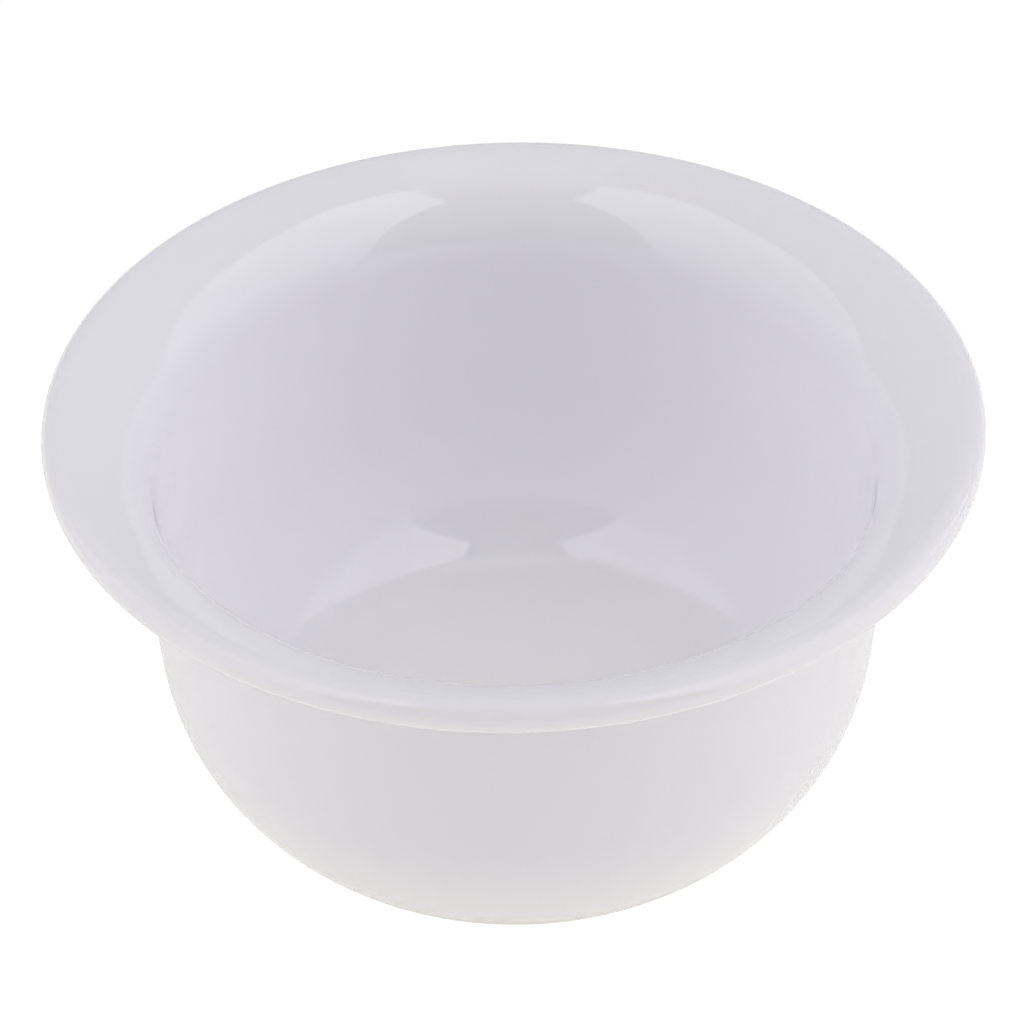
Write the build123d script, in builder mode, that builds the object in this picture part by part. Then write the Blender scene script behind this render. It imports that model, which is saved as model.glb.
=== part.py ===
"""Shaving bowl: one round moulding with a funnelled rim, a rolled lip and a recessed base.

Millimetres, +Z up. The origin is the centre of the plane that the base ring rests on.
The section is drawn on the XZ plane, from the lip down the inside to the axis and back up
the outside, and revolved round Z. Slopes are in degrees from the horizontal.
"""

from build123d import *
import os
from math import cos, radians, sin, tan

# Overall sizes
rim_diameter = 102.0
bowl_height = 51.5

# Rim: its width from the lip's outer edge to the wall's inside face, its slope at the
# lip and where the bend starts, and the radii of its bend, lip and underside
rim_width = 11.3
rim_slope_at_lip = 26.0
rim_slope_at_bend = 32.0
bend_radius = 9.4
lip_radius = 1.75
neck_radius = 6.0

# Inside of the wall and floor
wall_slope = 85.6
belly_radius = 29.0
heel_radius = 12.6
heel_slope = 54.7
floor_thickness = 3.9

# Outside: the wall's thickness, the belly's arc and the slope at which it meets the base
wall_thickness = 2.2
outer_belly_radius = 27.0
base_slope = 33.0
base_edge_radius = 1.2

# Base ring that the bowl stands on, and the recess inside it
base_ring_width = 4.5
recess_depth = 1.2
recess_edge_radius = 0.5


def run(radius, steep, shallow):
    """Horizontal length of an arc between two slopes."""
    return radius * (sin(radians(steep)) - sin(radians(shallow)))


def rise(radius, steep, shallow):
    """Height of an arc between two slopes."""
    return radius * (cos(radians(shallow)) - cos(radians(steep)))


# Worked out from the sizes above: the rim's arc takes the width that its bend and lip leave
rim_run = rim_width - run(bend_radius, wall_slope, rim_slope_at_bend)
rim_run -= lip_radius * (1 + sin(radians(rim_slope_at_lip)))
rim_arc_radius = rim_run / run(1, rim_slope_at_bend, rim_slope_at_lip)
lip_centre = Vector(rim_diameter / 2 - lip_radius, bowl_height - lip_radius)
lip_normal = Vector(-sin(radians(rim_slope_at_lip)), cos(radians(rim_slope_at_lip)))
inward = Vector(-cos(radians(rim_slope_at_lip)), -sin(radians(rim_slope_at_lip)))
belly_top = floor_thickness + rise(heel_radius, heel_slope, 0) + rise(belly_radius, wall_slope, heel_slope)
outer_belly_height = outer_belly_radius * cos(radians(base_slope))

with BuildPart() as bowl:
    with BuildSketch(Plane.XZ) as section:
        with BuildLine() as outline:
            # Inside, from the lip to the axis
            rim = JernArc(
                lip_centre + lip_normal * lip_radius,
                inward,
                rim_arc_radius,
                rim_slope_at_bend - rim_slope_at_lip,
            )
            bend = JernArc(rim @ 1, rim % 1, bend_radius, wall_slope - rim_slope_at_bend)
            wall_length = ((bend @ 1).Y - belly_top) / sin(radians(wall_slope))
            wall = Line(bend @ 1, bend @ 1 + bend % 1 * wall_length)
            belly = JernArc(wall @ 1, wall % 1, belly_radius, heel_slope - wall_slope)
            heel = JernArc(belly @ 1, belly % 1, heel_radius, -heel_slope)
            floor = Line(heel @ 1, (0, floor_thickness))

            # Outer wall line, one wall thickness outside the inner one, and the belly below it
            wall_up = -(wall % 1)
            wall_outward = Vector(wall_up.Y, -wall_up.X)
            outer_wall_point = wall @ 1 + wall_outward * wall_thickness
            belly_drop = outer_wall_point.Y - outer_belly_height
            belly_reach = outer_belly_radius / sin(radians(wall_slope))
            belly_centre = Vector(
                outer_wall_point.X - belly_drop / tan(radians(wall_slope)) - belly_reach,
                outer_belly_height,
            )
            belly_start = belly_centre + wall_outward * outer_belly_radius
            wall_guide = Line(belly_start, belly_start + wall_up * bowl_height, mode=Mode.PRIVATE)
            base_radius = belly_centre.X + outer_belly_radius * sin(radians(base_slope))
            recess_radius = base_radius - base_ring_width

            # Outside, from the lip to the axis
            lip = JernArc(rim @ 0, -inward, lip_radius, -180)
            underside = IntersectingLine(lip @ 1, inward, wall_guide)
            outer_wall = Line(underside @ 1, belly_start)
            outer_belly = JernArc(belly_start, -wall_up, outer_belly_radius, base_slope - wall_slope)
            recess = FilletPolyline(
                outer_belly @ 1,
                (recess_radius, 0),
                (recess_radius, recess_depth),
                (0, recess_depth),
                radius=recess_edge_radius,
            )
            Line((0, recess_depth), (0, floor_thickness))
        make_face()
        fillet(section.vertices().sort_by_distance(underside @ 1)[0], neck_radius)
        fillet(section.vertices().sort_by_distance(outer_belly @ 1)[0], base_edge_radius)
    revolve(axis=Axis.Z)

bowl.part.label = "bowl"
os.makedirs("parts", exist_ok=True)
export_step(bowl.part, "parts/bowl.step")
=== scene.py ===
"""Looks of the shaving bowl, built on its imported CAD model. Metres, in the CAD frame."""

from math import acos, ceil, cos, degrees, pi, radians, sin, tan

import bpy
from mathutils import Matrix, Vector


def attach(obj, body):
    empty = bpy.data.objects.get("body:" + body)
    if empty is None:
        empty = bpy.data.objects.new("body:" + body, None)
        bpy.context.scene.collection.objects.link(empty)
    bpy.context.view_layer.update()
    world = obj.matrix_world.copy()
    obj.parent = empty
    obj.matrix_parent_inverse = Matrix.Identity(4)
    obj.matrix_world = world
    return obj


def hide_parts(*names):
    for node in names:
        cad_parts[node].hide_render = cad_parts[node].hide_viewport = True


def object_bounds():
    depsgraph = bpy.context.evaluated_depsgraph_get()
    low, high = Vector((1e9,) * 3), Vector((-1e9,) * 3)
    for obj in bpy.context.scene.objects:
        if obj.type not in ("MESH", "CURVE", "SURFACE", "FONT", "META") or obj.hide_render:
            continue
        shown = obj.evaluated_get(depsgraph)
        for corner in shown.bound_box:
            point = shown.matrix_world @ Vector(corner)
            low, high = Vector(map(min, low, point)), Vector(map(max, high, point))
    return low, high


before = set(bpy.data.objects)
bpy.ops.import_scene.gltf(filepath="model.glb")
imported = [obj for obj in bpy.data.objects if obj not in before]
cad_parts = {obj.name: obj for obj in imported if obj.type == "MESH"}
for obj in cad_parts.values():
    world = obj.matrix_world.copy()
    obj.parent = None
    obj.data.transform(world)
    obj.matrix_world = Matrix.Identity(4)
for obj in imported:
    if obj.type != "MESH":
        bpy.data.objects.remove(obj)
cad_low, cad_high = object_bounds()
HEIGHT = cad_high.z - cad_low.z
RIM_RADIUS = (cad_high.y - cad_low.y) / 2

# Section of the moulding, as the CAD has it: slopes in degrees from the horizontal
MM = 0.001
LIP_RADIUS = 1.75 * MM
RIM_WIDTH = 11.3 * MM
LIP_SLOPE = 26.0
RIM_SLOPE = 32.0
BEND_RADIUS = 9.4 * MM
NECK_RADIUS = 6.0 * MM
WALL_SLOPE = 85.6
WALL_THICKNESS = 2.2 * MM
BELLY_RADIUS = 29.0 * MM
HEEL_SLOPE = 54.7
HEEL_RADIUS = 12.6 * MM
FLOOR_THICKNESS = 3.9 * MM
OUTER_BELLY_RADIUS = 27.0 * MM
BASE_SLOPE = 33.0
BASE_EDGE_RADIUS = 1.2 * MM
BASE_RING_WIDTH = 4.5 * MM
RECESS_DEPTH = 1.2 * MM
RECESS_EDGE_RADIUS = 0.5 * MM

LIP_CENTRE = Vector((RIM_RADIUS - LIP_RADIUS, cad_high.z - LIP_RADIUS))
LIP_NORMAL = Vector((-sin(radians(LIP_SLOPE)), cos(radians(LIP_SLOPE))))

# Mesh of the moulding: steps round the axis, and the longest step along the section, as a
# turn in degrees and as a length
STEPS_ROUND = 192
STEP_ANGLE = 4.0
STEP_LENGTH = 1.5 * MM

# Plastic: two close whites, how deep light goes in, and the sizes of its faint unevenness
# (texture scales are in features per metre)
WHITE = (0.965, 0.955, 0.995, 1)
WHITE_DEEP = (0.958, 0.948, 0.992, 1)
PLASTIC_IOR = 1.49
MILKY_DEPTH = 4.0 * MM
CLOUD_SCALE = 45.0
CLOUD_DETAIL = 2.0
CLOUD_LOW = 0.35
CLOUD_HIGH = 0.65
SPECK_SCALE = 300.0
SPECK_RADIUS = 0.13 * MM
SPECK_OFF_WHITE = 0.05
SPECK_COLOUR = (0.3, 0.25, 0.25, 1)
HAZE_SCALE = 60.0
HAZE_DETAIL = 3.0
GLOSS_BEST = 0.02
GLOSS_WORST = 0.05
RIPPLE_SCALE = 180.0
RIPPLE_DETAIL = 1.0
RIPPLE_DEPTH = 0.002 * MM
SCUFF_HEIGHT = 0.4 * MM
SCUFF_ROUGHNESS = 0.35

# Camera: its angles, and where it looks on the bowl's axis as a share of the height
CAMERA_ELEVATION = 39.08
CAMERA_ROLL = -0.99
CAMERA_DISTANCE = 8.0 * RIM_RADIUS
CAMERA_LENS = 129.33
SENSOR_WIDTH = 36.0
LOOK_AT_HEIGHT = 0.688
LOOK_AT_SIDE = -0.0063 * RIM_RADIUS

# Light tent round the bowl: distance to its walls, how far they lean forward as they rise,
# the heights between which each level of panels runs, and the radiance of each panel
TENT = 1.0
TENT_BACK = 0.58 * TENT
TENT_FRONT = -1.0 * TENT
TENT_DEPTH = TENT_BACK - TENT_FRONT
TENT_MIDDLE = (TENT_BACK + TENT_FRONT) / 2
TENT_LEAN = 0.19
LEVELS = {
    "low": (0.0, 0.8 * TENT),
    "mid": (0.8 * TENT, 2.0 * TENT),
    "high": (2.0 * TENT, 5.0 * TENT),
}
RADIANCE = {
    ("right", "low"): 1.24,
    ("right", "mid"): 1.54,
    ("right", "high"): 1.97,
    ("left", "low"): 1.07,
    ("left", "mid"): 1.34,
    ("left", "high"): 1.71,
    ("back", "low"): 0.4,
    ("back", "mid"): 0.4,
    ("back", "high"): 0.4,
    "top": 0.4,
}
PANEL_TINT = (1.0, 0.98, 1.06)
OPEN_FRONT = 0.0

# Floor: the one that light bounces off, and the overlit one that the camera sees
FLOOR_SIZE = 20.0
FLOOR_WHITE = 0.9
FLOOR_GLOW = 0.235
FLOOR_TINT = (1.0, 0.98, 0.7, 1)
SHOWN_WHITE = 0.1
SHOWN_GLOW = 1.0
SHOWN_TINT = (1, 1, 1, 1)


def node(tree, kind, **values):
    """A new node with its sockets, or else its settings, filled in by name."""
    made = tree.nodes.new(kind)
    for name, value in values.items():
        if name in made.inputs:
            made.inputs[name].default_value = value
        else:
            setattr(made, name, value)
    return made


def new_material(name):
    """An empty node material and its output node."""
    material = bpy.data.materials.new(name)
    material.use_nodes = True
    material.node_tree.nodes.clear()
    return material, material.node_tree.nodes.new("ShaderNodeOutputMaterial")


def ramp(tree, value, *stops):
    """The colour of value on a ramp of two stops, each a position and a colour."""
    made = tree.nodes.new("ShaderNodeValToRGB")
    for element, (position, colour) in zip(made.color_ramp.elements, stops):
        element.position = position
        element.color = colour
    tree.links.new(value, made.inputs["Fac"])
    return made.outputs["Color"]


def compare(tree, value, operation, limit):
    """1 where value is above or below the limit, else 0."""
    made = node(tree, "ShaderNodeMath", operation=operation)
    tree.links.new(value, made.inputs[0])
    made.inputs[1].default_value = limit
    return made.outputs[0]


def white_gloss():
    """Glossy white plastic: milky, clouded, rippled, very sparsely specked, scuffed underneath."""
    material, output = new_material("white_gloss")
    tree = material.node_tree
    link = tree.links.new
    place = tree.nodes.new("ShaderNodeTexCoord").outputs["Object"]
    shader = node(tree, "ShaderNodeBsdfPrincipled", IOR=PLASTIC_IOR)
    shader.inputs["Subsurface Weight"].default_value = 1.0
    shader.inputs["Subsurface Radius"].default_value = (1, 1, 1)
    shader.inputs["Subsurface Scale"].default_value = MILKY_DEPTH

    # Pigment: two close whites in soft clouds
    clouds = node(tree, "ShaderNodeTexNoise", Scale=CLOUD_SCALE, Detail=CLOUD_DETAIL)
    link(place, clouds.inputs["Vector"])
    pigment = ramp(tree, clouds.outputs["Fac"], (CLOUD_LOW, WHITE_DEEP), (CLOUD_HIGH, WHITE))

    # Specks: a cell holds one if its random colour is nearly white, which is very rare, and
    # the speck shows only where the cell's centre lies near the surface
    cells = node(tree, "ShaderNodeTexVoronoi", Scale=SPECK_SCALE)
    link(place, cells.inputs["Vector"])
    near = compare(tree, cells.outputs["Distance"], "LESS_THAN", SPECK_RADIUS * SPECK_SCALE)
    chosen = compare(tree, cells.outputs["Color"], "GREATER_THAN", 1 - SPECK_OFF_WHITE)
    speck = node(tree, "ShaderNodeMath", operation="MULTIPLY")
    link(near, speck.inputs[0])
    link(chosen, speck.inputs[1])
    colour = node(tree, "ShaderNodeMix", data_type="RGBA")
    link(speck.outputs[0], colour.inputs["Factor"])
    link(pigment, colour.inputs[6])
    colour.inputs[7].default_value = SPECK_COLOUR
    link(colour.outputs[2], shader.inputs["Base Color"])

    # Gloss: a little uneven, and dull on the ring that the bowl slides on
    height = node(tree, "ShaderNodeSeparateXYZ")
    link(place, height.inputs[0])
    worn = node(tree, "ShaderNodeMapRange")
    link(height.outputs["Z"], worn.inputs["Value"])
    worn.inputs["From Min"].default_value = cad_low.z + SCUFF_HEIGHT
    worn.inputs["From Max"].default_value = cad_low.z
    worn.inputs["To Min"].default_value = 0.0
    worn.inputs["To Max"].default_value = SCUFF_ROUGHNESS
    haze = node(tree, "ShaderNodeTexNoise", Scale=HAZE_SCALE, Detail=HAZE_DETAIL)
    link(place, haze.inputs["Vector"])
    gloss = node(tree, "ShaderNodeMapRange")
    link(haze.outputs["Fac"], gloss.inputs["Value"])
    gloss.inputs["To Min"].default_value = GLOSS_BEST
    gloss.inputs["To Max"].default_value = GLOSS_WORST
    rough = node(tree, "ShaderNodeMath", operation="ADD")
    link(gloss.outputs["Result"], rough.inputs[0])
    link(worn.outputs["Result"], rough.inputs[1])
    link(rough.outputs[0], shader.inputs["Roughness"])

    # Surface: the faint ripple of a moulding
    ripple = node(tree, "ShaderNodeTexNoise", Scale=RIPPLE_SCALE, Detail=RIPPLE_DETAIL)
    link(place, ripple.inputs["Vector"])
    bump = node(tree, "ShaderNodeBump", Distance=RIPPLE_DEPTH)
    link(ripple.outputs["Fac"], bump.inputs["Height"])
    link(bump.outputs["Normal"], shader.inputs["Normal"])
    link(shader.outputs[0], output.inputs["Surface"])
    return material


class Section:
    """A line drawn inwards and downwards by its slope, as (radius, height) points."""

    def __init__(self, start):
        self.points = [Vector(start)]

    @property
    def end(self):
        return self.points[-1]

    def line(self, slope, length):
        """A straight run at that slope."""
        start = self.end
        ahead = Vector((-cos(radians(slope)), -sin(radians(slope))))
        steps = max(1, ceil(length / STEP_LENGTH))
        self.points += [start + ahead * length * i / steps for i in range(1, steps + 1)]

    def arc(self, radius, slope, next_slope):
        """A turn from one slope to the next."""
        start = self.end
        turn = next_slope - slope
        side = radius if turn > 0 else -radius
        steps = ceil(max(abs(turn) / STEP_ANGLE, radius * radians(abs(turn)) / STEP_LENGTH))
        for i in range(1, steps + 1):
            now = radians(slope + turn * i / steps)
            moved = Vector((sin(radians(slope)) - sin(now), cos(now) - cos(radians(slope))))
            self.points.append(start + moved * side)


def drop(radius, slope, next_slope):
    """How far down an arc goes between two slopes."""
    return abs(radius * (cos(radians(next_slope)) - cos(radians(slope))))


def inner_section():
    """From the top of the lip down the inside to the axis, and the foot of the straight wall."""
    rim_run = RIM_WIDTH - LIP_RADIUS * (1 + sin(radians(LIP_SLOPE)))
    rim_run -= BEND_RADIUS * (sin(radians(WALL_SLOPE)) - sin(radians(RIM_SLOPE)))
    rim_radius = rim_run / (sin(radians(RIM_SLOPE)) - sin(radians(LIP_SLOPE)))
    inside = Section(LIP_CENTRE + LIP_NORMAL * LIP_RADIUS)
    inside.arc(rim_radius, LIP_SLOPE, RIM_SLOPE)
    inside.arc(BEND_RADIUS, RIM_SLOPE, WALL_SLOPE)
    belly_top = FLOOR_THICKNESS + drop(HEEL_RADIUS, HEEL_SLOPE, 0)
    belly_top += drop(BELLY_RADIUS, WALL_SLOPE, HEEL_SLOPE)
    inside.line(WALL_SLOPE, (inside.end.y - cad_low.z - belly_top) / sin(radians(WALL_SLOPE)))
    wall_foot = inside.end
    inside.arc(BELLY_RADIUS, WALL_SLOPE, HEEL_SLOPE)
    inside.arc(HEEL_RADIUS, HEEL_SLOPE, 0)
    inside.line(0, inside.end.x)
    return inside.points, wall_foot


def outer_section(wall_foot):
    """From the bottom of the lip down the outside to the axis."""
    outward = Vector((sin(radians(WALL_SLOPE)), -cos(radians(WALL_SLOPE))))
    wall_point = wall_foot + outward * WALL_THICKNESS
    belly_centre_height = cad_low.z + OUTER_BELLY_RADIUS * cos(radians(BASE_SLOPE))
    belly_top = belly_centre_height - OUTER_BELLY_RADIUS * cos(radians(WALL_SLOPE))
    belly_start = wall_point - Vector((1 / tan(radians(WALL_SLOPE)), 1)) * (wall_point.y - belly_top)
    belly_run = OUTER_BELLY_RADIUS * (sin(radians(WALL_SLOPE)) - sin(radians(BASE_SLOPE)))
    base_radius = belly_start.x - belly_run

    # The underside of the rim meets the wall's line at a corner, which the neck rounds
    start = LIP_CENTRE - LIP_NORMAL * LIP_RADIUS
    across = start - belly_start
    angle = radians(WALL_SLOPE - LIP_SLOPE)
    up_wall = Vector((cos(radians(WALL_SLOPE)), sin(radians(WALL_SLOPE))))
    rim_length = across.dot(outward) / sin(angle)
    wall_length = across.dot(up_wall) - rim_length * cos(angle)
    rounded = NECK_RADIUS * tan(angle / 2)

    # The belly stops where the small edge arc takes over and lands on the base's level
    edge_height = belly_centre_height - cad_low.z - BASE_EDGE_RADIUS
    edge_slope = degrees(acos(edge_height / (OUTER_BELLY_RADIUS - BASE_EDGE_RADIUS)))

    outside = Section(start)
    outside.line(LIP_SLOPE, rim_length - rounded)
    outside.arc(NECK_RADIUS, LIP_SLOPE, WALL_SLOPE)
    outside.line(WALL_SLOPE, wall_length - rounded)
    outside.arc(OUTER_BELLY_RADIUS, WALL_SLOPE, edge_slope)
    outside.arc(BASE_EDGE_RADIUS, edge_slope, 0)
    outside.line(0, outside.end.x - (base_radius - BASE_RING_WIDTH) - RECESS_EDGE_RADIUS)
    outside.arc(RECESS_EDGE_RADIUS, 0, -90)
    outside.line(-90, RECESS_DEPTH - 2 * RECESS_EDGE_RADIUS)
    outside.arc(RECESS_EDGE_RADIUS, -90, 0)
    outside.line(0, outside.end.x)
    return outside.points


def lip_section():
    """Round the lip, from the top of the rim to its underside."""
    steps = ceil(180 / STEP_ANGLE)
    top = radians(90 + LIP_SLOPE)
    turns = (top - pi * i / steps for i in range(1, steps))
    return [LIP_CENTRE + Vector((cos(turn), sin(turn))) * LIP_RADIUS for turn in turns]


def lathe(name, section, material):
    """A closed solid of revolution, whose section starts and ends on the axis."""
    first, *rings, last = section
    vertices = [(0, 0, first.y), (0, 0, last.y)]
    for ring in rings:
        for i in range(STEPS_ROUND):
            turn = 2 * pi * i / STEPS_ROUND
            vertices.append((ring.x * cos(turn), ring.x * sin(turn), ring.y))
    faces = []
    for i in range(STEPS_ROUND):
        j = (i + 1) % STEPS_ROUND
        faces.append((0, 2 + i, 2 + j))
        for ring in range(len(rings) - 1):
            inner = 2 + ring * STEPS_ROUND
            outer = inner + STEPS_ROUND
            faces.append((inner + i, outer + i, outer + j, inner + j))
        outer = 2 + (len(rings) - 1) * STEPS_ROUND
        faces.append((1, outer + j, outer + i))
    mesh = bpy.data.meshes.new(name)
    mesh.from_pydata(vertices, [], faces)
    mesh.polygons.foreach_set("use_smooth", [True] * len(mesh.polygons))
    mesh.materials.append(material)
    thing = bpy.data.objects.new(name, mesh)
    bpy.context.scene.collection.objects.link(thing)
    return thing


def make_bowl():
    """The moulding, as a fine mesh in place of the CAD node's coarse one."""
    inside, wall_foot = inner_section()
    section = inside[::-1] + lip_section() + outer_section(wall_foot)
    moulding = lathe("bowl_moulding", section, white_gloss())
    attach(moulding, "root")
    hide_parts("bowl")


def make_camera():
    """The camera, aimed at the bowl's axis from in front and above."""
    target = Vector((LOOK_AT_SIDE, 0, cad_low.z + LOOK_AT_HEIGHT * HEIGHT))
    elevation = radians(CAMERA_ELEVATION)
    towards = Vector((0, -cos(elevation), sin(elevation)))
    data = bpy.data.cameras.new("camera")
    data.lens = CAMERA_LENS
    data.sensor_width = SENSOR_WIDTH
    camera = bpy.data.objects.new("camera", data)
    aimed = towards.to_track_quat("Z", "Y").to_matrix()
    turn = aimed @ Matrix.Rotation(radians(CAMERA_ROLL), 3, "Z")
    camera.matrix_world = Matrix.Translation(target + towards * CAMERA_DISTANCE) @ turn.to_4x4()
    bpy.context.scene.collection.objects.link(camera)
    bpy.context.scene.camera = camera


def panel(name, centre, normal, up, width, height, radiance):
    """A soft rectangular light that faces along normal and has the given radiance."""
    data = bpy.data.lights.new(name, "AREA")
    data.shape = "RECTANGLE"
    data.size = width
    data.size_y = height
    # An area light's radiance is its power over its area and pi
    data.energy = radiance * width * height * pi
    data.color = PANEL_TINT
    light = bpy.data.objects.new(name, data)
    back = -Vector(normal).normalized()
    across = Vector(up).cross(back).normalized()
    turn = Matrix((across, back.cross(across), back)).transposed()
    light.matrix_world = Matrix.Translation(centre) @ turn.to_4x4()
    light.visible_camera = False
    bpy.context.scene.collection.objects.link(light)


def make_lights():
    """Walls and top of a light tent, leaning a little forward; its front is left open."""
    lean = Vector((0, -TENT_LEAN, 1)).normalized()
    for level, (low, high) in LEVELS.items():
        rise = lean * (low + high) / 2
        for side, name in ((1, "right"), (-1, "left")):
            centre = Vector((side * TENT, TENT_MIDDLE, 0)) + rise
            radiance = RADIANCE[name, level]
            panel(f"{name}_{level}", centre, (-side, 0, 0), lean, TENT_DEPTH, high - low, radiance)
        centre = Vector((0, TENT_BACK, 0)) + rise
        radiance = RADIANCE["back", level]
        panel(f"back_{level}", centre, (0, -1, -TENT_LEAN), lean, 2 * TENT, high - low, radiance)
    top = LEVELS["high"][1]
    panel("top", (0, 0, top), (0, 0, -1), (0, 1, 0), 2 * TENT, TENT_DEPTH, RADIANCE["top"])


def make_world():
    """The dark room beyond the tent, which is all that its open front shows."""
    world = bpy.data.worlds.new("world")
    world.use_nodes = True
    background = world.node_tree.nodes["Background"]
    background.inputs["Color"].default_value = (1, 1, 1, 1)
    background.inputs["Strength"].default_value = OPEN_FRONT
    bpy.context.scene.world = world


def plane(name, size, material):
    """A square on the floor's level."""
    half = size / 2
    corners = [(-half, -half, 0), (half, -half, 0), (half, half, 0), (-half, half, 0)]
    mesh = bpy.data.meshes.new(name)
    mesh.from_pydata(corners, [], [(0, 1, 2, 3)])
    mesh.materials.append(material)
    thing = bpy.data.objects.new(name, mesh)
    thing.location.z = cad_low.z
    bpy.context.scene.collection.objects.link(thing)
    return thing


def floor_material(name, colour, glow, tint):
    """A matt floor that gives off a little light of its own, as an overlit one seems to."""
    material, output = new_material(name)
    shader = node(material.node_tree, "ShaderNodeBsdfPrincipled", Roughness=1.0)
    shader.inputs["Base Color"].default_value = (colour, colour, colour, 1)
    shader.inputs["Specular IOR Level"].default_value = 0
    shader.inputs["Emission Color"].default_value = tint
    shader.inputs["Emission Strength"].default_value = glow
    material.node_tree.links.new(shader.outputs[0], output.inputs["Surface"])
    return material


def make_floor():
    """The floor that light bounces off, and the overlit white that the camera sees instead."""
    dim = floor_material("floor_bounce", FLOOR_WHITE, FLOOR_GLOW, FLOOR_TINT)
    bounce = plane("floor_bounce", FLOOR_SIZE, dim)
    bounce.visible_camera = False
    overlit = floor_material("floor", SHOWN_WHITE, SHOWN_GLOW, SHOWN_TINT)
    shown = plane("floor", FLOOR_SIZE, overlit)
    for kind in ("diffuse", "glossy", "transmission", "volume_scatter", "shadow"):
        setattr(shown, f"visible_{kind}", False)


make_bowl()
make_floor()
make_world()
make_lights()
make_camera()
bpy.context.scene.view_settings.view_transform = "Standard"
